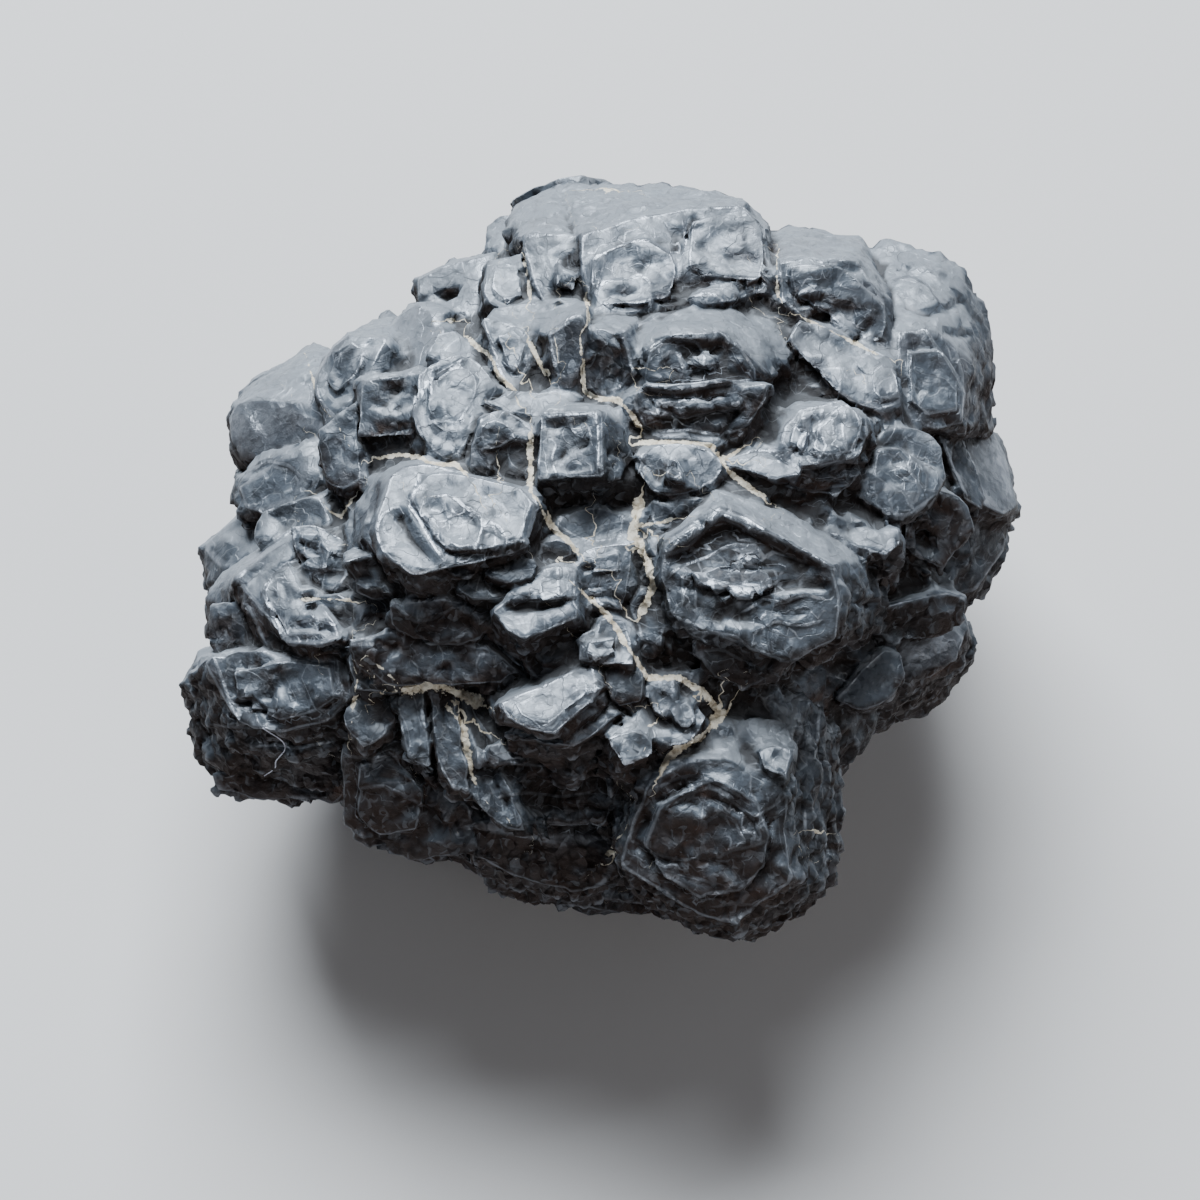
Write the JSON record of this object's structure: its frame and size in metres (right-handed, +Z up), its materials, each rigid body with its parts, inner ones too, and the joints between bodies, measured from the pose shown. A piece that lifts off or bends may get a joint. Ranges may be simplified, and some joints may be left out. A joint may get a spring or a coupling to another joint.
{
  "type": "prophecy stone",
  "caption": "Rounded nodule of blocky intergrown iron-mineral crystals with stepped, pitted faces and pale silt in the cracks; rests on worn facets.",
  "frame": {"origin": "centre of the bounding box in X and Y, at the underside, on the plane of the worn facets that the stone rests on", "axes": "+Z up out of the resting plane and +X to the right as the stone is seen from its front; +Z is the shortest extent"},
  "size_m": [0.042, 0.0438, 0.0338],
  "materials": {
    "stone": "satin dark grey iron oxide, silvery on worn edges, brown in places, pale silt in the cracks"
  },
  "bodies": {
    "root": {"stone": "stone"}
  },
  "joints": []
}
